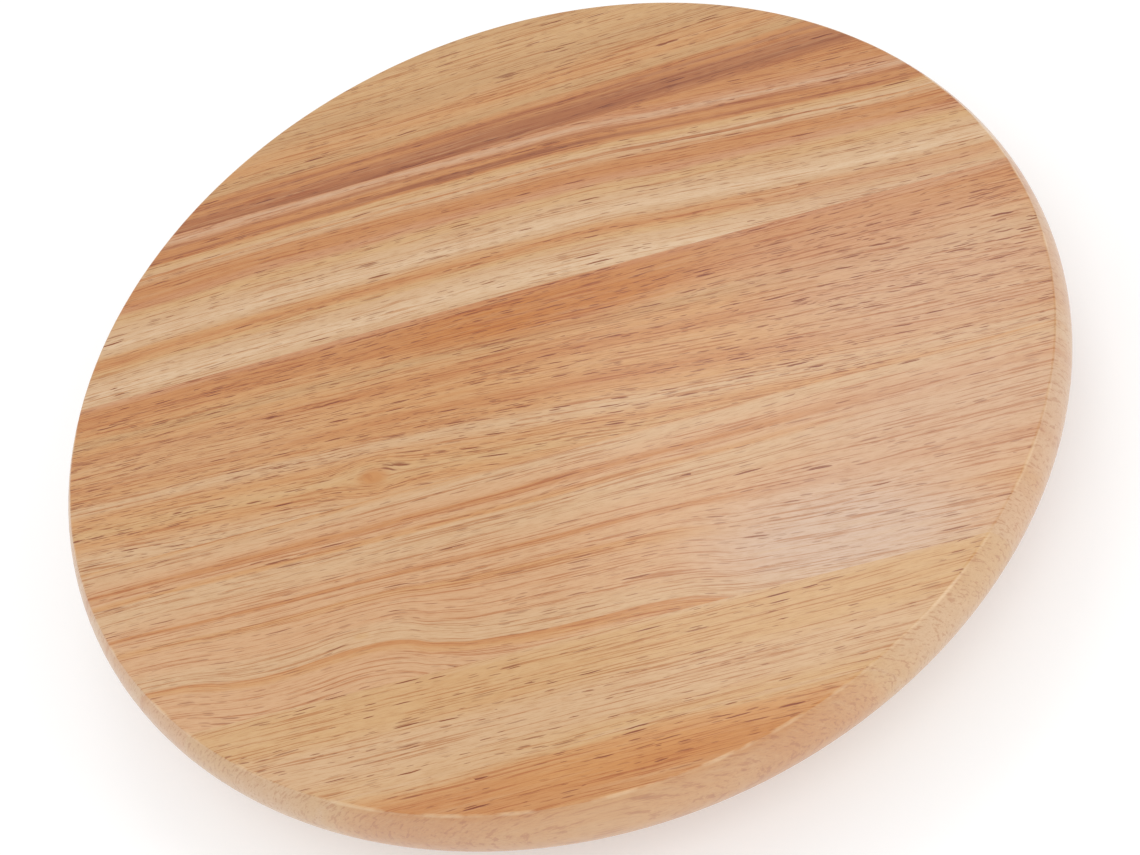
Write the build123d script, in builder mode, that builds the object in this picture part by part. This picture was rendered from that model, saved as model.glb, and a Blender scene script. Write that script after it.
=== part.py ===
from build123d import *

import os
from math import asin, cos, radians, sin, sqrt, tan

# A 14 inch wooden lazy susan: a round edge-glued board that spins on a stamped steel ball
# bearing, over a smaller round base on four rubber feet.
#
# Frame: millimetres, +Z up, origin on the spin axis in the plane that the feet rest on.
# +X runs along the grain of the board and of the base.

# --- Driving dimensions -------------------------------------------------------------------
BOARD_DIAMETER = 355.6  # 14 inches over the widest part of the edge
BOARD_THICKNESS = 23.0
BOARD_EDGE_RADIUS = 18.3  # the bulging arc of the board's edge
BOARD_ARRIS = 0.8  # the eased top corner
BOARD_LOWER_RADIUS = 4.0  # the rounded lower corner
BOARD_JOINTS_Y = (-114.5, -39.5, 35.5, 110.5)  # glue lines between the five staves

BASE_DIAMETER = 230.0
BASE_THICKNESS = 12.0
BASE_EDGE_RADIUS = 3.0
BASE_JOINTS_Y = (-38.0, 38.0)  # glue lines between the three staves

SHEET = 1.0  # thickness of the bearing's steel
SHORTEST_EDGE = 0.01  # shorter ones in an offset outline are dropped
BEARING_HEIGHT = 8.0
PLATE_SIDE = 150.0
PLATE_CORNER_RADIUS = 10.0
PLATE_HOLE_SPACING = 130.0  # from screw hole to screw hole along a side
UPPER_PLATE_TURN = -30.0  # degrees, so that its screws miss the glue lines

BALL_COUNT = 24
BALL_DIAMETER = 5.0
BALL_PITCH_RADIUS = 56.0
RACE_CLEARANCE = 0.05
RACE_FLANK_ANGLE = 50.0  # how far up each side of a ball its race reaches, degrees
RIDGE_HEIGHT = 3.2  # the sharp corner of the fold beside each race, above the plate
FOLD_RADIUS = 1.2
FOOT_FOLD_RADIUS = 1.5  # where the race rises from the flat of the plate
RETAINER_THICKNESS = 0.6
RETAINER_WIDTH = 7.6
POCKET_CLEARANCE = 0.15

COLLAR_RADIUS = 46.5  # middle of the collar's wall, the lower plate's inner rim
CURL_RADIUS = 51.0  # the collar's top edge, curled out to hold the upper plate down
CURL_HEIGHT = 6.5  # middle of the curled sheet, above the plate
LIP_RADIUS = 48.7  # the upper plate's inner rim, held under the curl
LIP_HEIGHT = 5.1  # middle of that rim's sheet

FOOT_COUNT = 4
FOOT_CIRCLE_RADIUS = 100.0
FOOT_HEIGHT = 6.0
FOOT_TOP_DIAMETER = 20.0
FOOT_BOTTOM_DIAMETER = 17.6
FOOT_EDGE_RADIUS = 0.8
FOOT_RECESS_DIAMETER = 9.0
WASHER_DIAMETER = 12.0
WASHER_THICKNESS = 1.0
WASHER_HEIGHT = 3.2  # underside of the washer above the floor

ACCESS_HOLE_DIAMETER = 16.0  # a screwdriver reaches the upper plate's screws through it

SCREW_CORE_DIAMETER = 2.4
SCREW_HOLE_DIAMETER = 4.2
SCREW_HEAD_DIAMETER = 7.0
SCREW_HEAD_HEIGHT = 2.2
SCREW_HEAD_RIM = 0.6  # straight side of the head, under its dome
SCREW_DOME_RADIUS = 4.8
SCREW_TIP_LENGTH = 3.0
CROSS_SPAN = 4.0
CROSS_WIDTH = 0.9
CROSS_DEPTH = 1.3
CROSS_TAPER = 12.0  # degrees
PILOT_CLEARANCE = 0.05
PILOT_END_GAP = 0.5
LOWER_SCREW_LENGTH = 10.0
UPPER_SCREW_LENGTH = 14.0
FOOT_SCREW_LENGTH = 12.0

# --- Levels, radii and places worked out from them ------------------------------------------
BASE_Z = FOOT_HEIGHT
BEARING_Z = BASE_Z + BASE_THICKNESS
BOARD_Z = BEARING_Z + BEARING_HEIGHT
TOP_Z = BOARD_Z + BOARD_THICKNESS
BALL_Z = BEARING_Z + BEARING_HEIGHT / 2
HALF_SHEET = SHEET / 2
PILOT_RADIUS = SCREW_CORE_DIAMETER / 2 + PILOT_CLEARANCE
SCREW_CIRCLE_RADIUS = PLATE_HOLE_SPACING / sqrt(2)
SQUARE_CORNER = 45.0  # degrees from +X to the first corner of a square plate


def on_circle(radius, start_angle, count=4):
    """Points evenly spaced round the spin axis, the first at start_angle degrees."""
    angles = [radians(start_angle + 360.0 / count * i) for i in range(count)]
    return [(radius * cos(a), radius * sin(a)) for a in angles]


LOWER_SCREW_POINTS = on_circle(SCREW_CIRCLE_RADIUS, SQUARE_CORNER)
UPPER_SCREW_POINTS = on_circle(SCREW_CIRCLE_RADIUS, SQUARE_CORNER + UPPER_PLATE_TURN)
FOOT_POINTS = on_circle(FOOT_CIRCLE_RADIUS, 0.0, FOOT_COUNT)

os.makedirs("parts", exist_ok=True)

# --- Board: flat faces, a bulging edge, a crisp top arris and a soft lower corner -----------
half_sweep = asin(BOARD_THICKNESS / 2 / BOARD_EDGE_RADIUS)
board_face_radius = BOARD_DIAMETER / 2 - BOARD_EDGE_RADIUS * (1 - cos(half_sweep))
upper_pilot_depth = UPPER_SCREW_LENGTH - SHEET + PILOT_END_GAP

with BuildPart() as board:
    with BuildSketch(Plane.XZ):
        with BuildLine():
            Polyline(
                (board_face_radius, TOP_Z),
                (0, TOP_Z),
                (0, BOARD_Z),
                (board_face_radius, BOARD_Z),
            )
            ThreePointArc(
                (board_face_radius, BOARD_Z),
                (BOARD_DIAMETER / 2, (BOARD_Z + TOP_Z) / 2),
                (board_face_radius, TOP_Z),
            )
        make_face()
    revolve(axis=Axis.Z)
    rims = board.edges().filter_by(GeomType.CIRCLE).sort_by(Axis.Z)
    fillet(rims[0], radius=BOARD_LOWER_RADIUS)
    rims = board.edges().filter_by(GeomType.CIRCLE).sort_by(Axis.Z)
    fillet(rims[-1], radius=BOARD_ARRIS)
    with BuildSketch(Plane.XY.offset(BOARD_Z)):
        with Locations(*UPPER_SCREW_POINTS):
            Circle(PILOT_RADIUS)
    extrude(amount=upper_pilot_depth, mode=Mode.SUBTRACT)

# --- Base: a plain round disc with soft edges -------------------------------------------------
lower_pilot_depth = LOWER_SCREW_LENGTH - SHEET + PILOT_END_GAP
foot_pilot_depth = WASHER_HEIGHT + FOOT_SCREW_LENGTH - BASE_Z + PILOT_END_GAP

with BuildPart() as base:
    with BuildSketch(Plane.XY.offset(BASE_Z)):
        Circle(BASE_DIAMETER / 2)
    extrude(amount=BASE_THICKNESS)
    fillet(base.edges().filter_by(GeomType.CIRCLE), radius=BASE_EDGE_RADIUS)
    with BuildSketch(Plane.XY.offset(BEARING_Z)):
        with Locations(*LOWER_SCREW_POINTS):
            Circle(PILOT_RADIUS)
    extrude(amount=-lower_pilot_depth, mode=Mode.SUBTRACT)
    with BuildSketch(Plane.XY.offset(BASE_Z)):
        with Locations(*FOOT_POINTS):
            Circle(PILOT_RADIUS)
    extrude(amount=foot_pilot_depth, mode=Mode.SUBTRACT)
    with BuildSketch(Plane.XY.offset(BASE_Z)):
        with Locations(UPPER_SCREW_POINTS[0]):
            Circle(ACCESS_HOLE_DIAMETER / 2)
    extrude(amount=BASE_THICKNESS, mode=Mode.SUBTRACT)


def save_staves(disc, joints, name):
    """Cuts a disc along its glue lines into one solid for each stave, back to front."""
    limits = [-BOARD_DIAMETER, *joints, BOARD_DIAMETER]
    bands = list(zip(limits[:-1], limits[1:]))
    for number, (low, high) in enumerate(reversed(bands), start=1):
        with BuildPart() as stave:
            add(disc)
            with BuildSketch():
                with Locations((0, (low + high) / 2)):
                    Rectangle(2 * BOARD_DIAMETER, high - low)
            extrude(amount=TOP_Z, mode=Mode.INTERSECT)
        stave.part.label = f"{name}_{number}"
        export_step(stave.part, f"parts/{name}_{number}.step")


save_staves(board.part, BOARD_JOINTS_Y, "board_stave")
save_staves(base.part, BASE_JOINTS_Y, "base_stave")

# --- Bearing: two stamped plates, a ring of balls and their retainer --------------------------
# The middle of each race's sheet is an arc round the balls, drawn as the fillet of a V whose
# sides leave it at the flank angle.
race_fold_radius = BALL_DIAMETER / 2 + RACE_CLEARANCE + HALF_SHEET
flank_slope = tan(radians(RACE_FLANK_ANGLE))
v_height = BEARING_HEIGHT / 2 - race_fold_radius / cos(radians(RACE_FLANK_ANGLE))
ridge_offset = (RIDGE_HEIGHT - v_height) / flank_slope
ridge_drop = RIDGE_HEIGHT - HALF_SHEET  # the ridge's far side falls at 45 degrees
lip_offset = (BEARING_HEIGHT - LIP_HEIGHT - v_height) / flank_slope
outer_ridge_radius = BALL_PITCH_RADIUS + ridge_offset
inner_ridge_radius = BALL_PITCH_RADIUS - ridge_offset
flat_inner_radius = outer_ridge_radius + ridge_drop

# Radius and height above the plate's own face, from beyond the square's corners inwards.
race_folds = [FOOT_FOLD_RADIUS, FOLD_RADIUS, race_fold_radius]
race_points = [
    (PLATE_SIDE, HALF_SHEET),
    (flat_inner_radius, HALF_SHEET),
    (outer_ridge_radius, RIDGE_HEIGHT),
    (BALL_PITCH_RADIUS, v_height),
]
collar_points = [
    (inner_ridge_radius, RIDGE_HEIGHT),
    (inner_ridge_radius - ridge_drop, HALF_SHEET),
    (COLLAR_RADIUS, HALF_SHEET),
    (COLLAR_RADIUS, CURL_HEIGHT),
    (CURL_RADIUS, CURL_HEIGHT),
]
lip_points = [
    (BALL_PITCH_RADIUS - lip_offset, BEARING_HEIGHT - LIP_HEIGHT),
    (LIP_RADIUS, BEARING_HEIGHT - LIP_HEIGHT),
]

with BuildPart() as bearing_lower_plate:
    with BuildSketch(Plane.XZ):
        with BuildLine():
            FilletPolyline(
                *[(r, BEARING_Z + h) for r, h in race_points + collar_points],
                radius=race_folds + [FOLD_RADIUS] * (len(collar_points) - 1),
            )
            offset(amount=HALF_SHEET, side=Side.BOTH, min_edge_length=SHORTEST_EDGE)
        make_face()
    revolve(axis=Axis.Z)
    with BuildSketch(Plane.XY.offset(BEARING_Z)):
        RectangleRounded(PLATE_SIDE, PLATE_SIDE, PLATE_CORNER_RADIUS)
        with Locations(*LOWER_SCREW_POINTS):
            Circle(SCREW_HOLE_DIAMETER / 2, mode=Mode.SUBTRACT)
    extrude(amount=BEARING_HEIGHT, mode=Mode.INTERSECT)
bearing_lower_plate.part.label = "bearing_lower_plate"
export_step(bearing_lower_plate.part, "parts/bearing_lower_plate.step")

with BuildPart() as bearing_upper_plate:
    with BuildSketch(Plane.XZ):
        with BuildLine():
            FilletPolyline(
                *[(r, BOARD_Z - h) for r, h in race_points + lip_points],
                radius=race_folds + [FOLD_RADIUS] * (len(lip_points) - 1),
            )
            offset(amount=HALF_SHEET, side=Side.BOTH, min_edge_length=SHORTEST_EDGE)
        make_face()
    revolve(axis=Axis.Z)
    with BuildSketch(Plane.XY.offset(BOARD_Z)):
        RectangleRounded(PLATE_SIDE, PLATE_SIDE, PLATE_CORNER_RADIUS, rotation=UPPER_PLATE_TURN)
        with Locations(*UPPER_SCREW_POINTS):
            Circle(SCREW_HOLE_DIAMETER / 2, mode=Mode.SUBTRACT)
    extrude(amount=-BEARING_HEIGHT, mode=Mode.INTERSECT)
bearing_upper_plate.part.label = "bearing_upper_plate"
export_step(bearing_upper_plate.part, "parts/bearing_upper_plate.step")

with BuildPart(Plane.XY.offset(BALL_Z)) as bearing_balls:
    with PolarLocations(BALL_PITCH_RADIUS, BALL_COUNT):
        Sphere(BALL_DIAMETER / 2)
bearing_balls.part.label = "bearing_balls"
export_step(bearing_balls.part, "parts/bearing_balls.step")

with BuildPart() as ball_retainer:
    with BuildSketch(Plane.XY.offset(BALL_Z)):
        Circle(BALL_PITCH_RADIUS + RETAINER_WIDTH / 2)
        Circle(BALL_PITCH_RADIUS - RETAINER_WIDTH / 2, mode=Mode.SUBTRACT)
        with PolarLocations(BALL_PITCH_RADIUS, BALL_COUNT):
            Circle(BALL_DIAMETER / 2 + POCKET_CLEARANCE, mode=Mode.SUBTRACT)
    extrude(amount=RETAINER_THICKNESS / 2, both=True)
ball_retainer.part.label = "ball_retainer"
export_step(ball_retainer.part, "parts/ball_retainer.step")

# --- Feet: a tapered rubber button moulded round a steel washer -------------------------------
hole_radius = SCREW_HOLE_DIAMETER / 2
for number, (foot_x, foot_y) in enumerate(FOOT_POINTS, start=1):
    foot_section = Plane(origin=(foot_x, foot_y, 0), x_dir=(1, 0, 0), z_dir=(0, -1, 0))
    foot_axis = Axis((foot_x, foot_y, 0), (0, 0, 1))

    with BuildPart() as foot:
        with BuildSketch(foot_section):
            with BuildLine():
                Polyline(
                    (FOOT_RECESS_DIAMETER / 2, 0),
                    (FOOT_BOTTOM_DIAMETER / 2, 0),
                    (FOOT_TOP_DIAMETER / 2, FOOT_HEIGHT),
                    (hole_radius, FOOT_HEIGHT),
                    (hole_radius, WASHER_HEIGHT + WASHER_THICKNESS),
                    (WASHER_DIAMETER / 2, WASHER_HEIGHT + WASHER_THICKNESS),
                    (WASHER_DIAMETER / 2, WASHER_HEIGHT),
                    (FOOT_RECESS_DIAMETER / 2, WASHER_HEIGHT),
                    close=True,
                )
            make_face()
        revolve(axis=foot_axis)
        floor_rims = foot.edges().filter_by(GeomType.CIRCLE).group_by(Axis.Z)[0]
        fillet(floor_rims.sort_by(SortBy.RADIUS)[-1], radius=FOOT_EDGE_RADIUS)
    foot.part.label = f"foot_{number}"
    export_step(foot.part, f"parts/foot_{number}.step")

    with BuildPart() as washer:
        with BuildSketch(Plane.XY.offset(WASHER_HEIGHT)):
            with Locations((foot_x, foot_y)):
                Circle(WASHER_DIAMETER / 2)
                Circle(hole_radius, mode=Mode.SUBTRACT)
        extrude(amount=WASHER_THICKNESS)
    washer.part.label = f"foot_washer_{number}"
    export_step(washer.part, f"parts/foot_washer_{number}.step")


# --- Screws: pan heads with a cross recess, on a plain core with a point -----------------------
def screw(length):
    """One screw, standing on its head: the shank points up from the head's seat at z = 0."""
    core = SCREW_CORE_DIAMETER / 2
    head = SCREW_HEAD_DIAMETER / 2
    with BuildPart() as body:
        with BuildSketch(Plane.XZ):
            with BuildLine():
                Polyline(
                    (0, -SCREW_HEAD_HEIGHT),
                    (0, length),
                    (core, length - SCREW_TIP_LENGTH),
                    (core, 0),
                    (head, 0),
                    (head, -SCREW_HEAD_RIM),
                )
                RadiusArc((head, -SCREW_HEAD_RIM), (0, -SCREW_HEAD_HEIGHT), SCREW_DOME_RADIUS)
            make_face()
        revolve(axis=Axis.Z)
        with BuildSketch(Plane.XY.offset(-SCREW_HEAD_HEIGHT)):
            Rectangle(CROSS_SPAN, CROSS_WIDTH)
            Rectangle(CROSS_WIDTH, CROSS_SPAN)
        extrude(amount=CROSS_DEPTH, taper=CROSS_TAPER, mode=Mode.SUBTRACT)
    return body.part


screw_sets = {
    "lower_plate_screws": (LOWER_SCREW_LENGTH, LOWER_SCREW_POINTS, BEARING_Z + SHEET, -1),
    "upper_plate_screws": (UPPER_SCREW_LENGTH, UPPER_SCREW_POINTS, BOARD_Z - SHEET, 1),
    "foot_screws": (FOOT_SCREW_LENGTH, FOOT_POINTS, WASHER_HEIGHT, 1),
}
for name, (length, points, seat_z, up) in screw_sets.items():
    one_screw = screw(length)
    with BuildPart() as screws:
        for x, y in points:
            with Locations(Plane((x, y, seat_z), x_dir=(1, 0, 0), z_dir=(0, 0, up))):
                add(one_screw)
    screws.part.label = name
    export_step(screws.part, f"parts/{name}.step")
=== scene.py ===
from math import cos, pi, radians, sin

import bmesh
import bpy
from mathutils import Euler, Matrix, Vector


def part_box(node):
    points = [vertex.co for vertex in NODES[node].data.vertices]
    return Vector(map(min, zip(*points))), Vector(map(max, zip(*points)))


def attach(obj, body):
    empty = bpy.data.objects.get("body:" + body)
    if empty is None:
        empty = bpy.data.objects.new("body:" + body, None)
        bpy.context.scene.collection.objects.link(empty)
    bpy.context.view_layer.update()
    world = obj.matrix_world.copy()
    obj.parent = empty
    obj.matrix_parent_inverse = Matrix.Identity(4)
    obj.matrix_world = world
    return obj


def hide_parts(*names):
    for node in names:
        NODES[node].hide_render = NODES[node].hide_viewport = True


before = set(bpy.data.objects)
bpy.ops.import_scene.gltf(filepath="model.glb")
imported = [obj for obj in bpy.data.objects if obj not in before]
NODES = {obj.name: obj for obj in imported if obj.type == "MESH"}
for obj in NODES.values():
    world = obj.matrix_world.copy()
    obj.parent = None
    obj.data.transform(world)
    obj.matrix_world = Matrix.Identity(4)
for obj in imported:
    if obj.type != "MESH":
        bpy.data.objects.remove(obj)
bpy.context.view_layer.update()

MM = 0.001

# --- Places read from the frame ---------------------------------------------------------------
STAVES = [f"board_stave_{n}" for n in range(1, 6)]
TOP_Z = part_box("board_stave_3")[1].z
BOARD_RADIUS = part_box("board_stave_3")[1].x

# --- View ---------------------------------------------------------------------------------------
VIEW_AZIMUTH = radians(12.0)
VIEW_ELEVATION = radians(49.33)
VIEW_ROLL = radians(-23.98)
VIEW_DISTANCE = 0.8355
VIEW_AIM = Vector((-0.0003, -0.0319, 0.0))  # from the middle of the top: rightwards, away
LENS = 78.95
SENSOR_WIDTH = 36.0


def place_camera():
    turn = Matrix.Rotation(VIEW_AZIMUTH, 3, "Z")
    aim = Vector((0, 0, TOP_Z)) + turn @ VIEW_AIM
    forward = turn @ Vector((0, cos(VIEW_ELEVATION), -sin(VIEW_ELEVATION)))
    camera = bpy.data.objects.new("camera", bpy.data.cameras.new("camera"))
    camera.data.lens = LENS
    camera.data.sensor_width = SENSOR_WIDTH
    camera.location = aim - forward * VIEW_DISTANCE
    upright = Euler((pi / 2 - VIEW_ELEVATION, 0, VIEW_AZIMUTH)).to_matrix()
    camera.rotation_euler = (upright @ Matrix.Rotation(VIEW_ROLL, 3, "Z")).to_euler()
    bpy.context.scene.collection.objects.link(camera)
    bpy.context.scene.camera = camera


place_camera()


# --- Shader nodes ---------------------------------------------------------------------------------
class Shader:
    """A small helper that adds shader nodes and joins them."""

    SOCKETS = {
        "color": "Base Color", "roughness": "Roughness", "metallic": "Metallic", "normal": "Normal",
        "specular": "Specular IOR Level", "coat": "Coat Weight", "coat_roughness": "Coat Roughness",
        "coat_normal": "Coat Normal", "glow": "Emission Color", "glow_strength": "Emission Strength",
    }

    def __init__(self, name):
        self.material = bpy.data.materials.new(name)
        self.material.use_nodes = True
        self.tree = self.material.node_tree
        self.tree.nodes.clear()
        self.output = self.add("ShaderNodeOutputMaterial")
        self.bsdf = self.add("ShaderNodeBsdfPrincipled")
        self.tree.links.new(self.bsdf.outputs[0], self.output.inputs[0])

    def add(self, kind, **settings):
        node = self.tree.nodes.new(kind)
        for key, value in settings.items():
            setattr(node, key, value)
        return node

    def feed(self, socket, value):
        """Links a socket, or sets a number or a colour on it."""
        if isinstance(value, bpy.types.NodeSocket):
            self.tree.links.new(value, socket)
        elif socket.type == "RGBA":
            socket.default_value = (*value, 1.0)
        else:
            socket.default_value = value

    def fill(self, node, *values):
        """Feeds a node's first sockets in turn."""
        for socket, value in zip(node.inputs, values):
            self.feed(socket, value)
        return node

    def math(self, operation, *values, clamp=False):
        node = self.add("ShaderNodeMath", operation=operation, use_clamp=clamp)
        return self.fill(node, *values).outputs[0]

    def plus(self, a, b):
        return self.math("ADD", a, b)

    def minus(self, a, b):
        return self.math("SUBTRACT", a, b)

    def times(self, a, b):
        return self.math("MULTIPLY", a, b)

    def over(self, a, b):
        return self.math("DIVIDE", a, b)

    def scaled(self, value, factor, offset):
        return self.math("MULTIPLY_ADD", value, factor, offset)

    def squares(self, a, b):
        return self.plus(self.math("POWER", a, 2.0), self.math("POWER", b, 2.0))

    def length(self, a, b):
        return self.math("SQRT", self.squares(a, b))

    def step(self, value, low, high):
        """0 at low, 1 at high, smooth between. low may be above high."""
        node = self.add("ShaderNodeMapRange", interpolation_type="SMOOTHSTEP")
        return self.fill(node, value, low, high, 0.0, 1.0).outputs[0]

    def place(self, scale):
        """The point on the part, in units of scale (mm) along X, Y and Z."""
        point = self.add("ShaderNodeTexCoord").outputs["Object"]
        node = self.add("ShaderNodeVectorMath", operation="MULTIPLY")
        return self.fill(node, point, [1 / (MM * s) for s in scale]).outputs[0]

    def split(self, vector):
        return self.fill(self.add("ShaderNodeSeparateXYZ"), vector).outputs

    def join(self, x, y, z):
        return self.fill(self.add("ShaderNodeCombineXYZ"), x, y, z).outputs[0]

    def noise(self, vector, detail, roughness=0.5):
        node = self.add("ShaderNodeTexNoise")
        self.feed(node.inputs["Vector"], vector)
        self.feed(node.inputs["Scale"], 1.0)
        self.feed(node.inputs["Detail"], detail)
        self.feed(node.inputs["Roughness"], roughness)
        return node.outputs["Fac"]

    def cells(self, vector):
        """The distance to the middle of the nearest cell, and that cell's three random numbers."""
        node = self.add("ShaderNodeTexVoronoi")
        self.feed(node.inputs["Vector"], vector)
        self.feed(node.inputs["Scale"], 1.0)
        return node.outputs["Distance"], self.split(node.outputs["Color"])

    def ramp(self, factor, stops):
        """Eases from colour to colour. A stop is (position, colour)."""
        node = self.fill(self.add("ShaderNodeValToRGB"), factor)
        elements = node.color_ramp.elements
        node.color_ramp.interpolation = "EASE"
        while len(elements) < len(stops):
            elements.new(0.5)
        for element, (position, _) in zip(elements, stops):
            element.position = position
        for element, (_, color) in zip(elements, stops):
            element.color = (*color, 1.0)
        return node.outputs[0]

    def mix(self, factor, a, b, blend="MIX"):
        node = self.add("ShaderNodeMix", data_type="RGBA", blend_type=blend)
        node.clamp_factor = True
        for index, value in ((0, factor), (6, a), (7, b)):
            self.feed(node.inputs[index], value)
        return node.outputs[2]

    def bump(self, height, distance, strength):
        node = self.add("ShaderNodeBump")
        self.feed(node.inputs["Height"], height)
        self.feed(node.inputs["Distance"], distance)
        self.feed(node.inputs["Strength"], strength)
        return node.outputs[0]

    def finish(self, **sockets):
        for key, value in sockets.items():
            self.feed(self.bsdf.inputs[self.SOCKETS[key]], value)
        return self.material


# --- Rubberwood ------------------------------------------------------------------------------------
# Albedos, linear.
IVORY = (0.690, 0.485, 0.300)
CREAM = (0.630, 0.402, 0.218)
STRAW = (0.615, 0.368, 0.162)
BUFF = (0.630, 0.365, 0.186)
GOLD = (0.560, 0.322, 0.138)
TAN = (0.600, 0.308, 0.116)
ROSE = (0.565, 0.272, 0.124)
PALE_ROSE = (0.610, 0.372, 0.222)
# The next colour is a grey-pink wood tone that also stands in for a painted sheen on the lacquer.
ASHEN_AND_PAINTED_SHEEN = (0.620, 0.436, 0.318)
HONEY = (0.590, 0.270, 0.078)
PEACH = (0.545, 0.235, 0.072)
AMBER = (0.515, 0.182, 0.026)
RUSSET = (0.420, 0.150, 0.044)
CHESTNUT = (0.340, 0.106, 0.026)
# The next colour is partly sanding wear on the arris, partly a painted highlight along it.
PALE_ARRIS_AND_HIGHLIGHT = (0.78, 0.56, 0.34)
# The next colour is partly the edge's own tone, partly a painted reflection of the floor on the steep
# edge.
PALE_EDGE_AND_REFLECTION = (0.63, 0.45, 0.31)

# Tints that darken the wood: they multiply its albedo.
PORE_SHADE = (0.42, 0.17, 0.03)
STREAK_SHADE = (0.92, 0.78, 0.63)
LINE_SHADE = (0.75, 0.51, 0.32)
FIBRE_SHADE = (0.82, 0.66, 0.50)
MOTTLE_SHADE = (0.92, 0.87, 0.80)

# Each stave: its seed; colour bands as (Y in mm, albedo), from the viewer's side away; the drift of
# its figure as (X in mm, sideways shift in mm), which fades out between two values of Y; soft spots
# as (X, Y, half length, half width, albedo, strength); and how crowded and dark its pores are.
WOOD = {
    "board_stave_1": dict(
        seed=11,
        drift=[(-178, -1.5), (-60, 0), (40, 2.5), (178, 4)],
        bands=[
            (106, PEACH), (110, RUSSET), (112, CHESTNUT), (114, RUSSET), (117, RUSSET),
            (119.5, PEACH), (121.5, RUSSET), (123.5, PEACH), (127, GOLD), (134, TAN), (146, GOLD),
            (160, STRAW), (178, GOLD),
        ],
        spots=[(20, 116, 75, 5, CHESTNUT, 0.5)],
        pores=dict(crowd=0.60, dark=0.8),
    ),
    "board_stave_2": dict(
        seed=23,
        drift=[(-178, 2), (-60, 4), (20, 2), (60, -2), (130, -8), (178, -10)],
        bands=[
            (32, CREAM), (38, IVORY), (45, CREAM), (48, STRAW), (50, TAN), (52, PEACH), (54, TAN),
            (57, CREAM), (60, IVORY), (66, CREAM), (72, STRAW), (76, ROSE), (80, PEACH), (84, PEACH),
            (88.2, CREAM), (88.9, PEACH), (89.6, CREAM), (93, STRAW), (95, PEACH), (96.5, RUSSET),
            (98, PEACH), (100, PEACH), (101.5, RUSSET), (102.5, ROSE), (104.5, PALE_ROSE),
            (106.5, ROSE), (112, PEACH),
        ],
        spots=[
            (-8, 97, 70, 1.6, CHESTNUT, 1.0), (70, 88.9, 60, 0.8, RUSSET, 0.7),
            (-130, 82, 60, 9, PEACH, 0.4), (130, 48, 60, 10, PALE_ROSE, 0.5),
        ],
        pores=dict(crowd=0.55, dark=0.8),
    ),
    "board_stave_3": dict(
        seed=37,
        drift=[(-178, 14), (-60, 6), (0, 0), (60, -6), (110, -10), (178, -14)],
        fade=(-20, 40),
        bands=[
            (-60, TAN), (-48, CREAM), (-40, TAN), (-36, STRAW), (-30, TAN), (-24, CREAM), (-18, TAN),
            (-12, PEACH), (-8, TAN), (-2, TAN), (4, PEACH), (9, TAN), (14, GOLD), (19, TAN),
            (24, PEACH), (31, PEACH), (35, ROSE), (46, PEACH), (58, ROSE),
        ],
        spots=[
            (6, 25, 68, 13, AMBER, 1.0), (4, 24, 45, 7, AMBER, 0.5), (140, 0, 70, 32, PALE_ROSE, 0.7),
            (100, 22, 50, 14, ROSE, 0.6), (-130, -4, 60, 14, CREAM, 0.35),
        ],
        knot=(-63, -30),
        pores=dict(crowd=1.35, dark=0.9),
    ),
    "board_stave_4": dict(
        seed=41,
        drift=[
            (-178, 19), (-137, 16), (-101, 10), (-68, 11.5), (-46, 5.5), (-25, 1), (30, -1), (60, -7),
            (178, -14),
        ],
        fade=(-100, -62),
        bands=[
            (-124, BUFF), (-114, BUFF), (-111.5, TAN), (-109.5, PEACH), (-108.6, CREAM),
            (-104, CREAM), (-97, BUFF), (-88, BUFF), (-83, TAN), (-81, BUFF), (-76, BUFF),
            (-74, PEACH), (-72, BUFF), (-62, CREAM), (-58, CREAM), (-56.5, TAN), (-54, BUFF),
            (-51, PEACH), (-48.5, BUFF), (-42, CREAM), (-39, TAN), (-32, PEACH),
        ],
        spots=[
            # The grey-pink spot at the right: partly the wood's own tone, partly a painted sheen on the
            # lacquer.
            (88, -92, 52, 22, ASHEN_AND_PAINTED_SHEEN, 0.9), (132, -62, 60, 22, PALE_ROSE, 0.8),
            (-71, -104.5, 3, 1.6, STRAW, 0.8),
        ],
        pores=dict(crowd=0.60, dark=0.6),
    ),
    "board_stave_5": dict(
        seed=59,
        drift=[(-178, 1), (-60, 0), (60, 0), (178, 3)],
        bands=[
            (-178, TAN), (-167, PEACH), (-161, PEACH), (-156, TAN), (-153, STRAW), (-152.3, CREAM),
            (-151.5, STRAW), (-144, CREAM), (-136, CREAM), (-128, STRAW), (-118, STRAW),
            (-112, CREAM),
        ],
        spots=[
            (22, -162, 62, 8, HONEY, 1.0), (34, -165, 45, 5, AMBER, 0.5),
            (-52, -151, 45, 5, CREAM, 0.7),
        ],
        pores=dict(crowd=0.50, dark=1.0),
    ),
    "base_stave_1": dict(
        seed=67,
        drift=[(-120, 2), (120, -3)],
        bands=[(36, STRAW), (50, CREAM), (62, PEACH), (80, TAN), (118, STRAW)],
        pores=dict(crowd=0.5, dark=0.7),
    ),
    "base_stave_2": dict(
        seed=71,
        drift=[(-120, -2), (120, 3)],
        bands=[(-40, ROSE), (-22, TAN), (-5, PALE_ROSE), (14, PEACH), (30, CREAM), (40, STRAW)],
        pores=dict(crowd=0.8, dark=0.7),
    ),
    "base_stave_3": dict(
        seed=83,
        drift=[(-120, 0), (120, 4)],
        bands=[(-118, GOLD), (-90, TAN), (-70, STRAW), (-52, PEACH), (-36, TAN)],
        pores=dict(crowd=0.5, dark=0.7),
    ),
}

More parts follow.
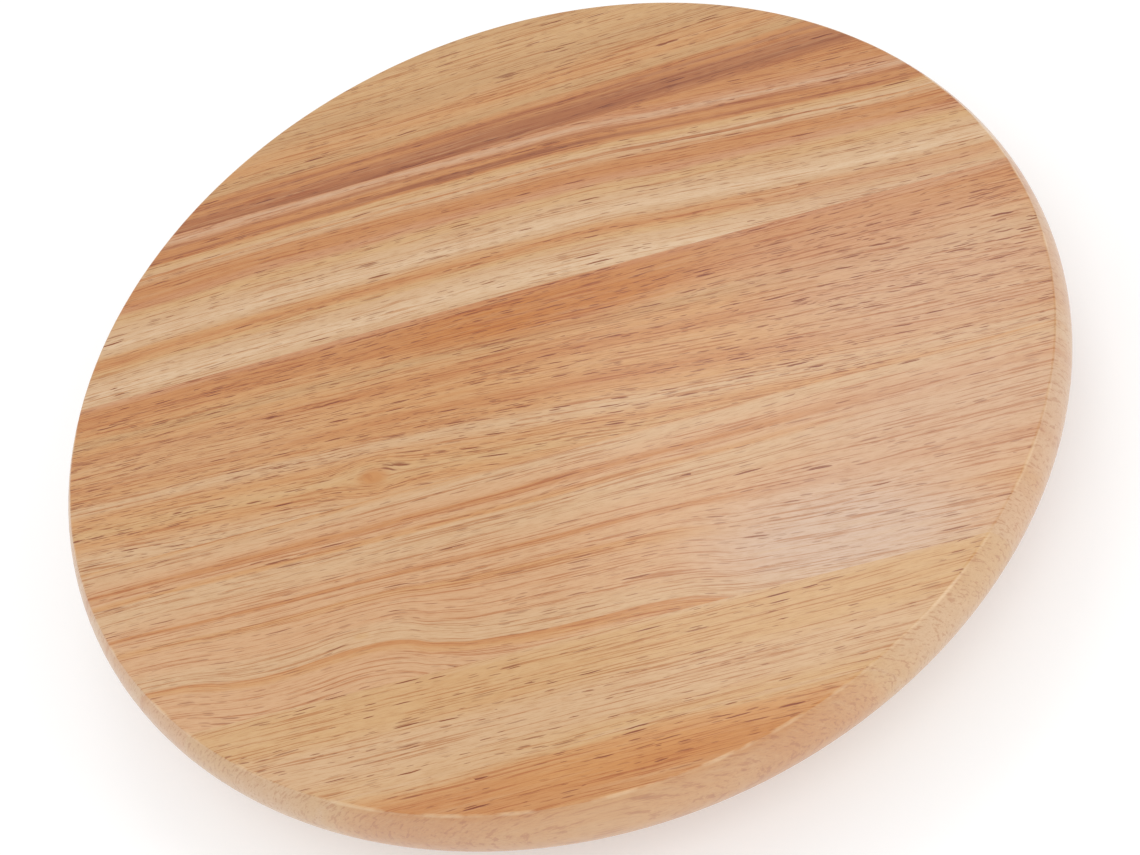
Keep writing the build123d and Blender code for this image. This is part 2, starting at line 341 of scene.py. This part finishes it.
# Noises drawn out along the grain: the size along it, across it and in depth, mm, and its fineness.
LONG_WAVES = dict(size=(150, 40, 60))
SHORT_WAVES = dict(size=(40, 9, 14))
FRAY = dict(size=(40, 1.1, 3), detail=4, roughness=0.65)
BUNDLES = dict(size=(80, 3.0, 8), detail=4, roughness=0.62)
LINES = dict(size=(36, 0.62, 2.5), detail=4, roughness=0.62)
FIBRES = dict(size=(5, 0.34, 0.6), detail=3, roughness=0.65)
KINKS = dict(size=(5, 2.0, 6), detail=1)
CROWDS = dict(size=(50, 7, 20), detail=3, roughness=0.6)
SEED_STEP = 37.0  # how far apart in depth two seeds' noises lie, mm

# How wide the figure sways, mm from side to side of the noise's whole range.
LONG_WAVE_REACH = 4.5
SHORT_WAVE_REACH = 1.8
FRAY_REACH = 4.6
KINK_REACH = 0.6

SPOT_EDGE = (1.25, 0.3)  # where a spot starts and is full, as shares of its half sizes

KNOT_HALF = (6.0, 4.2)  # half length and half width, mm
KNOT_EDGE = (1.4, 0.4)
KNOT_STRENGTH = 0.7
SWIRL_HALF = (11.0, 7.0)  # of the fibres that swing round it
SWIRL_FALLOFF = 0.37
SWIRL_PUSH = 6.0  # mm

# Streaks, from bundles of fibre down to single fibres: their noise and, for each tone in it, the
# noise values where it starts and is full, its strength, its colour and how that is laid on.
STREAKS = (
    (BUNDLES, ((0.50, 0.70, 0.50, STREAK_SHADE, "MULTIPLY"), (0.50, 0.30, 0.24, CREAM, "MIX"))),
    (LINES, ((0.54, 0.61, 0.85, LINE_SHADE, "MULTIPLY"), (0.47, 0.32, 0.20, CREAM, "MIX"))),
    (FIBRES, ((0.45, 0.70, 0.65, FIBRE_SHADE, "MULTIPLY"),)),
)
MOTTLE_SIZE = (9, 3, 6)  # along X, Y and Z, mm
MOTTLE_TONE = (0.42, 0.68, 0.50, MOTTLE_SHADE, "MULTIPLY")

# Pores come in three sizes of cell: its length and width in mm, a pore's share of it, the part of
# the cells that hold one where the wood is most crowded, and how dark the faintest and boldest are.
PORE_CELLS = (
    (6.0, 0.62, 0.38, 0.85, 0.25, 0.95),
    (12.0, 0.80, 0.34, 0.70, 0.30, 1.20),
    (20.0, 1.25, 0.26, 0.50, 0.65, 1.70),
)
PORE_LAYER_STEP = 500.0  # how far apart in depth the three layers lie, mm
PORE_SIZES = (0.6, 1.1)  # the smallest and the largest, against its layer's share
PORE_RIM = (1.08, 0.72)  # where a pore's edge starts and is full, as shares of its size
CROWDED = (0.35, 0.62)  # noise values of the sparsest and the most crowded wood
SPARSE_SHARE = 0.25  # of the pores that the most crowded wood has
EDGE_PORE_STRENGTH = 0.18  # where they are cut across, against 1 on the faces

# The upright part of the normal: 1 on the two faces, 0 where the edge stands straight.
FACE_SLOPE = (0.70, 0.95)  # where pores start to show in full, and do
EDGE_SLOPE = (0.85, 0.45)  # where the edge's pale tone, partly its own and partly a painted reflection, starts and is full
EDGE_STRENGTH = 0.35
ARRIS_RADIUS = BOARD_RADIUS / MM - 4.1  # where the flat top ends, mm
ARRIS_OUT = (ARRIS_RADIUS - 0.5, ARRIS_RADIUS + 0.1)
ARRIS_UP = (TOP_Z / MM - 1.1, TOP_Z / MM - 0.5)
RUB_AND_HIGHLIGHT_SIZE = (16, 16, 16)  # of the patches where the arris is rubbed pale and carries a painted highlight, mm
RUBBED_AND_HIGHLIT = (0.46, 0.62)
RUB_AND_HIGHLIGHT_STRENGTH = 0.50

# The lacquer, and the relief that shows through it.
LACQUER = dict(specular=0.4, coat=0.5, coat_roughness=0.16)
SHEEN_SIZE = (30, 12, 12)  # of the patches that are duller or glossier, mm
DULLEST, GLOSSIEST = 0.52, 0.38  # roughness
PORE_RELIEF = -0.7  # sunk, against fibres that stand proud
FIBRE_RELIEF = 0.25
RELIEF_DEPTH = 0.12  # mm
RIPPLE_SIZE = (12, 8, 8)
RIPPLE_DEPTH = 0.1  # mm


class Timber(Shader):
    """A shader for wood with its grain along X. All its lengths are in mm."""

    def __init__(self, name, seed):
        super().__init__(name)
        self.x, self.y, self.height = self.split(self.place((1, 1, 1)))
        self.depth = self.plus(self.height, seed * SEED_STEP)
        normal = self.add("ShaderNodeTexCoord").outputs["Normal"]
        self.upright = self.math("ABSOLUTE", self.split(normal)[2])

    def grain(self, across, size, detail=2.0, roughness=0.5):
        """Noise drawn out along the grain. across is the sideways place that it follows."""
        along, aside, deep = size
        point = self.join(self.over(self.x, along), self.over(across, aside), self.over(self.depth, deep))
        return self.noise(point, detail, roughness)

    def sway(self, across, noise, reach):
        return self.times(self.minus(self.grain(across, **noise), 0.5), reach)

    def oval(self, across, middle, half):
        """The place in an oval, along and across it, as shares of its half length and width."""
        along = self.over(self.minus(self.x, middle[0]), half[0])
        return along, self.over(self.minus(across, middle[1]), half[1])

    def shade(self, color, value, start, full, strength, tone, blend):
        return self.mix(self.times(self.step(value, start, full), strength), color, tone, blend)

    def drift(self, points):
        """The figure's sideways shift at X, through the stave's drift points."""
        low, high = points[0][0], points[-1][0]
        deepest = max(abs(shift) for _, shift in points)
        node = self.add("ShaderNodeFloatCurve")
        handles = node.mapping.curves[0].points
        while len(handles) < len(points):
            handles.new(0.5, 0.5)
        for handle, (along, shift) in zip(handles, points):
            handle.location = ((along - low) / (high - low), 0.5 + 0.5 * shift / deepest)
            handle.handle_type = "AUTO"
        node.mapping.update()
        self.feed(node.inputs["Value"], self.over(self.minus(self.x, low), high - low))
        return self.times(self.minus(node.outputs[0], 0.5), 2 * deepest)

    def swirl(self, knot):
        """How far fibres swing aside round a knot."""
        along, across = self.oval(self.y, knot, SWIRL_HALF)
        away = self.squares(along, across)
        return self.times(across, self.times(self.math("POWER", SWIRL_FALLOFF, away), SWIRL_PUSH))

    def lane(self, drift, fade, knot):
        """The place across the figure, which follows its drift, its waves and its knot."""
        shift = self.drift(drift)
        if fade:
            shift = self.times(shift, self.step(self.y, fade[1], fade[0]))
        waver = self.plus(self.sway(self.y, LONG_WAVES, LONG_WAVE_REACH),
                          self.sway(self.y, SHORT_WAVES, SHORT_WAVE_REACH))
        if knot:
            waver = self.plus(waver, self.swirl(knot))
        return self.minus(self.minus(self.y, shift), waver)

    def figure(self, lane, bands, spots, knot):
        """The colour bands, with their spots and knot."""
        frayed = self.plus(lane, self.sway(lane, FRAY, FRAY_REACH))
        low, high = bands[0][0], bands[-1][0]
        level = self.math("DIVIDE", self.minus(frayed, low), high - low, clamp=True)
        color = self.ramp(level, [((at - low) / (high - low), albedo) for at, albedo in bands])
        for x, y, half_length, half_width, albedo, strength in spots:
            reach = self.length(*self.oval(frayed, (x, y), (half_length, half_width)))
            color = self.shade(color, reach, *SPOT_EDGE, strength, albedo, "MIX")
        if knot:
            reach = self.length(*self.oval(self.y, knot, KNOT_HALF))
            color = self.shade(color, reach, *KNOT_EDGE, KNOT_STRENGTH, AMBER, "MIX")
        return color

    def streaked(self, lane, color):
        """The colour with its streaks, and the noise of the single fibres."""
        for noise, tones in STREAKS:
            value = self.grain(lane, **noise)
            for tone in tones:
                color = self.shade(color, value, *tone)
        mottle = self.noise(self.place(MOTTLE_SIZE), 4, 0.65)
        return self.shade(color, mottle, *MOTTLE_TONE), value

    def pores(self, lane, crowd):
        """Vessels cut lengthways, so short dashes on the faces and faint dots on the end grain."""
        kinked = self.plus(lane, self.sway(lane, KINKS, KINK_REACH))
        crowded = self.step(self.grain(lane, **CROWDS), *CROWDED)
        crowding = self.scaled(crowded, 1 - SPARSE_SHARE, SPARSE_SHARE)
        pore = None
        for layer, (length, width, share, filled, faintest, boldest) in enumerate(PORE_CELLS):
            deep = self.over(self.plus(self.depth, PORE_LAYER_STEP * layer), width)
            point = self.join(self.over(self.x, length), self.over(kinked, width), deep)
            distance, (chance, weight, stretch) = self.cells(point)
            present = self.math("LESS_THAN", chance, self.times(crowding, filled * crowd))
            size = self.times(self.scaled(stretch, PORE_SIZES[1] - PORE_SIZES[0], PORE_SIZES[0]), share)
            hole = self.step(distance, self.times(size, PORE_RIM[0]), self.times(size, PORE_RIM[1]))
            dark = self.scaled(self.math("POWER", weight, 2.0), boldest - faintest, faintest)
            depth = self.times(self.times(hole, present), dark)
            pore = depth if pore is None else self.math("MAXIMUM", pore, depth)
        on_face = self.step(self.upright, *FACE_SLOPE)
        return self.times(pore, self.scaled(on_face, 1 - EDGE_PORE_STRENGTH, EDGE_PORE_STRENGTH))

    def edged(self, color):
        """The edge, cut across the fibres, paler where it stands steep, partly as a painted reflection;
        and the arris, where sanding has thinned the stain, pale in patches, partly as a painted highlight.
        """
        # Paler where the edge stands steep: partly its own tone, partly a painted reflection of the floor.
        color = self.mix(self.times(self.step(self.upright, *EDGE_SLOPE), EDGE_STRENGTH), color, PALE_EDGE_AND_REFLECTION)
        # The arris pale in patches: partly sanding wear, partly a painted highlight.
        out = self.length(self.x, self.y)
        arris = self.times(self.step(out, *ARRIS_OUT), self.step(self.height, *ARRIS_UP))
        rubbed_and_highlit = self.times(self.step(self.noise(self.place(RUB_AND_HIGHLIGHT_SIZE), 3), *RUBBED_AND_HIGHLIT), RUB_AND_HIGHLIGHT_STRENGTH)
        return self.mix(self.times(arris, rubbed_and_highlit), color, PALE_ARRIS_AND_HIGHLIGHT)


def wood(name, rim, seed, drift, bands, pores, spots=(), fade=None, knot=None):
    """Lacquered rubberwood. rim says whether it has the board's edge."""
    s = Timber(name, seed)
    lane = s.lane(drift, fade, knot)
    color, fibre = s.streaked(lane, s.figure(lane, bands, spots, knot))
    pore = s.pores(lane, pores["crowd"])
    color = s.mix(s.times(pore, pores["dark"]), color, PORE_SHADE, "MULTIPLY")
    if rim:
        color = s.edged(color)
    relief = s.scaled(pore, PORE_RELIEF, s.times(fibre, FIBRE_RELIEF))
    return s.finish(
        color=color,
        roughness=s.scaled(s.noise(s.place(SHEEN_SIZE), 3), DULLEST - GLOSSIEST, GLOSSIEST),
        normal=s.bump(relief, RELIEF_DEPTH * MM, 0.4),
        coat_normal=s.bump(s.noise(s.place(RIPPLE_SIZE), 2), RIPPLE_DEPTH * MM, 0.12),
        **LACQUER,
    )


def dress(node, material):
    """Gives a CAD node one material."""
    slots = NODES[node].data.materials
    slots.clear()
    slots.append(material)


for node, recipe in WOOD.items():
    dress(node, wood("wood_" + node, node in STAVES, **recipe))

# --- Steel ------------------------------------------------------------------------------------------
ZINC = (0.58, 0.59, 0.60)
ZINC_BLUE = (0.50, 0.53, 0.58)
ZINC_DULL = (0.40, 0.40, 0.39)
GREASE = (0.30, 0.24, 0.14)
CHROME = (0.74, 0.74, 0.75)
STRIP = (0.52, 0.52, 0.51)

# Noises of the finish, mm along X, Y and Z, and the noise values where each starts and is full.
CLOUD_SIZE = (8, 7, 8)
CLOUDED = (0.36, 0.66)
BRUSHED = (0.50, 0.72)
BRUSH_STRENGTH = 0.45
SPECK_SIZE = (0.6, 0.6, 0.6)
SPECKED = (0.62, 0.74)
SPECK_STRENGTH = 0.40
GREASY = (0.30, 0.60)
GREASE_WIDTH = (5.0, 1.0)  # from the race, mm: where the film starts and is full
GREASE_GLOSS = -0.12  # what the film adds to the roughness

BALL_RADIUS = (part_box("bearing_balls")[1].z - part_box("bearing_balls")[0].z) / 2
RACE_RADIUS = (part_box("bearing_balls")[1].x - BALL_RADIUS) / MM


def steel(name, bright, clouded, brush, roughness, dent=0.03, greased=0.0):
    """Metal with fine lines of brush (mm along X, Y and Z), clouds, specks, dents (mm) and grease."""
    s = Shader(name)
    x, y, _ = s.split(s.place((1, 1, 1)))
    lines = s.noise(s.place(brush), 4, 0.65)
    clouds = s.noise(s.place(CLOUD_SIZE), 4, 0.6)
    specks = s.noise(s.place(SPECK_SIZE), 3, 0.6)
    color = s.mix(s.step(clouds, *CLOUDED), bright, clouded)
    color = s.mix(s.times(s.step(lines, *BRUSHED), BRUSH_STRENGTH), color, ZINC_DULL)
    color = s.mix(s.times(s.step(specks, *SPECKED), SPECK_STRENGTH), color, ZINC_DULL)
    rough = s.plus(s.scaled(clouds, 0.16, roughness), s.times(lines, 0.10))
    if greased:
        off_race = s.math("ABSOLUTE", s.minus(s.length(x, y), RACE_RADIUS))
        film = s.times(s.step(off_race, *GREASE_WIDTH), s.step(clouds, *GREASY))
        smear = s.times(film, greased)
        color = s.mix(smear, color, GREASE)
        rough = s.scaled(smear, GREASE_GLOSS, rough)
    height = s.scaled(specks, 0.6, lines)
    return s.finish(color=color, roughness=rough, metallic=1.0, normal=s.bump(height, dent * MM, 0.5))


plate_steel = steel("plate_steel", ZINC, ZINC_BLUE, (45, 0.5, 45), 0.24, greased=0.8)
dress("bearing_lower_plate", plate_steel)
dress("bearing_upper_plate", plate_steel)
dress("bearing_balls", steel("ball_steel", CHROME, ZINC, (3, 3, 0.3), 0.04, dent=0.004, greased=0.35))
dress("ball_retainer", steel("retainer_steel", STRIP, ZINC, (0.5, 30, 30), 0.26, greased=0.6))
screw_steel = steel("screw_steel", ZINC, STRIP, (2.0, 2.0, 0.12), 0.22, dent=0.02)
for node in ("lower_plate_screws", "upper_plate_screws", "foot_screws"):
    dress(node, screw_steel)
washer_steel = steel("washer_steel", ZINC, ZINC_BLUE, (12, 0.3, 12), 0.28)
for number in range(1, 5):
    dress(f"foot_washer_{number}", washer_steel)


# --- Feet: moulded rubber -----------------------------------------------------------------------------
RUBBER = (0.020, 0.020, 0.022)
RUBBER_GRIT = (0.042, 0.041, 0.040)
DUST = (0.135, 0.122, 0.105)
DUST_TOP = 2.2  # how far up from the floor the dust reaches, mm

# The foot's section, mm.
FOOT_SEGMENTS = 96
FOOT_WALL = 8.8  # radius at the floor
FOOT_WALL_INSET = 0.5  # of the wall under the flange
FLANGE_LOW = 1.4  # where the wall ends, below the top
FLANGE_HEIGHT = 1.0
FOOT_BORE = 2.1
FOOT_RECESS = 4.5
WASHER_RADIUS = 6.0
GROOVES = (5.6, 6.6, 7.6)  # radii of the grip grooves in the face that meets the floor
GROOVE_DEPTH = 0.45
GROOVE_MOUTH = 0.3  # half its width at the floor
GROOVE_BED = 0.15  # half its width at the bottom
GROOVE_ROUNDING = 0.08


def foot_rubber():
    s = Shader("foot_rubber")
    height = s.split(s.place((1, 1, 1)))[2]
    grit = s.noise(s.place((0.3, 0.3, 0.3)), 3, 0.7)
    dust = s.noise(s.place((2.5, 2.5, 2.0)), 4, 0.65)
    color = s.mix(s.step(grit, 0.35, 0.70), RUBBER, RUBBER_GRIT)
    worn = s.times(s.step(height, DUST_TOP, 0.0), s.step(dust, 0.40, 0.66))
    color = s.mix(s.times(worn, 0.65), color, DUST)
    rough = s.scaled(dust, 0.25, 0.52)
    return s.finish(color=color, roughness=rough, specular=0.35, normal=s.bump(grit, 0.06 * MM, 0.6))


def rounded(corners, steps=4):
    """Points along a closed outline whose corners, (radius, height, rounding), are softened."""
    outline = []
    for index, (radius, height, rounding) in enumerate(corners):
        corner = Vector((radius, height))
        if not rounding:
            outline.append(corner)
            continue
        before = Vector(corners[index - 1][:2])
        after = Vector(corners[(index + 1) % len(corners)][:2])
        start = corner + (before - corner).normalized() * rounding
        end = corner + (after - corner).normalized() * rounding
        for step in range(steps + 1):
            t = step / steps
            outline.append(start * (1 - t) ** 2 + corner * 2 * t * (1 - t) + end * t ** 2)
    return outline


def foot_outline(top_radius, height, washer_low, washer_high):
    """The foot's section in mm: ribbed floor face, tapered wall, flange, bore and washer seat."""
    floor_face = []
    for groove in GROOVES:
        floor_face += [
            (groove - GROOVE_MOUTH, 0, GROOVE_ROUNDING),
            (groove - GROOVE_BED, GROOVE_DEPTH, GROOVE_ROUNDING),
            (groove + GROOVE_BED, GROOVE_DEPTH, GROOVE_ROUNDING),
            (groove + GROOVE_MOUTH, 0, GROOVE_ROUNDING),
        ]
    wall = [
        (FOOT_WALL, 0, 0.5),
        (top_radius - FOOT_WALL_INSET, height - FLANGE_LOW, 0.25),
        (top_radius, height - FLANGE_HEIGHT, 0.2),
        (top_radius, height, 0.25),
    ]
    bore = [
        (FOOT_BORE, height, 0.2),
        (FOOT_BORE, washer_high, 0),
        (WASHER_RADIUS, washer_high, 0),
        (WASHER_RADIUS, washer_low, 0),
        (FOOT_RECESS, washer_low, 0.15),
    ]
    return rounded([(FOOT_RECESS, 0, 0.3)] + floor_face + wall + bore)


def lathe(name, outline, middle, segments):
    """A closed outline of (radius, height) points in mm, turned about an upright axis."""
    work = bmesh.new()
    rings = []
    for turn in range(segments):
        angle = 2 * pi * turn / segments
        out = Vector((cos(angle), sin(angle), 0))
        rings.append([work.verts.new(middle + (out * r + Vector((0, 0, h))) * MM) for r, h in outline])
    for ring, following in zip(rings, rings[1:] + rings[:1]):
        for index in range(len(outline)):
            work.faces.new((ring[index - 1], following[index - 1], following[index], ring[index]))
    bmesh.ops.recalc_face_normals(work, faces=work.faces)
    mesh = bpy.data.meshes.new(name)
    work.to_mesh(mesh)
    work.free()
    for polygon in mesh.polygons:
        polygon.use_smooth = True
    mesh.set_sharp_from_angle(angle=radians(50))
    piece = bpy.data.objects.new(name, mesh)
    bpy.context.scene.collection.objects.link(piece)
    return piece


def make_feet():
    rubber = foot_rubber()
    for number in range(1, 5):
        node, washer = f"foot_{number}", f"foot_washer_{number}"
        low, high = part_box(node)
        middle = Vector(((low.x + high.x) / 2, (low.y + high.y) / 2, low.z))
        washer_low, washer_high = ((corner.z - low.z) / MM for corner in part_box(washer))
        outline = foot_outline((high.x - low.x) / 2 / MM, (high.z - low.z) / MM, washer_low, washer_high)
        foot = lathe(f"moulded_foot_{number}", outline, middle, FOOT_SEGMENTS)
        foot.data.materials.append(rubber)
        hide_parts(node)
        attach(foot, "base")


make_feet()

# --- Floor, light and world ---------------------------------------------------------------------------
FLOOR_HALF = 3.0
PAPER = (0.70, 0.70, 0.70)
PAPER_GREY = (0.67, 0.67, 0.67)
# The floor glows a little: painted light that lifts the board's shadow on it and brightens the light
# thrown back onto the edge.
PAPER_GLOW = 0.35
SKY = 0.78

# Each softbox: where it stands, the point that it faces, its width and height, m, and its power, W.
SOFTBOXES = {
    "key": ((0.0, -0.9, 1.6), (0, 0, 0), (0.9, 0.9), 4.6),
    "side": ((-1.2, 0.6, 1.3), (0, 0, 0), (1.2, 1.2), 3.0),
    "strip": ((1.1, -0.55, 0.75), (0.1, -0.1, 0.05), (0.35, 1.2), 3.0),
    "sheen": ((0.05, 0.9, 1.30), (0.08, -0.09, 0.05), (0.5, 0.4), 1.6),
}


def floor_material():
    s = Shader("floor_paper")
    grain = s.noise(s.place((8, 8, 8)), 3)
    color = s.mix(s.times(grain, 0.3), PAPER, PAPER_GREY)
    return s.finish(color=color, roughness=0.7, specular=0.2, glow=(1, 1, 1), glow_strength=PAPER_GLOW)


def make_floor():
    mesh = bpy.data.meshes.new("floor")
    work = bmesh.new()
    bmesh.ops.create_grid(work, x_segments=8, y_segments=8, size=FLOOR_HALF)
    work.to_mesh(mesh)
    work.free()
    floor = bpy.data.objects.new("floor", mesh)
    bpy.context.scene.collection.objects.link(floor)
    mesh.materials.append(floor_material())


def softbox(name, place, aim, size, power):
    light = bpy.data.lights.new(name, "AREA")
    light.shape = "RECTANGLE"
    light.size, light.size_y = size
    light.energy = power
    lamp = bpy.data.objects.new(name, light)
    lamp.location = place
    lamp.rotation_euler = (Vector(aim) - Vector(place)).to_track_quat("-Z", "Y").to_euler()
    bpy.context.scene.collection.objects.link(lamp)


def make_world():
    world = bpy.data.worlds.new("studio")
    world.use_nodes = True
    background = world.node_tree.nodes["Background"]
    background.inputs["Color"].default_value = (1, 1, 1, 1)
    background.inputs["Strength"].default_value = SKY
    bpy.context.scene.world = world
    bpy.context.scene.view_settings.view_transform = "Standard"


make_floor()
for name, settings in SOFTBOXES.items():
    softbox(name, *settings)
make_world()
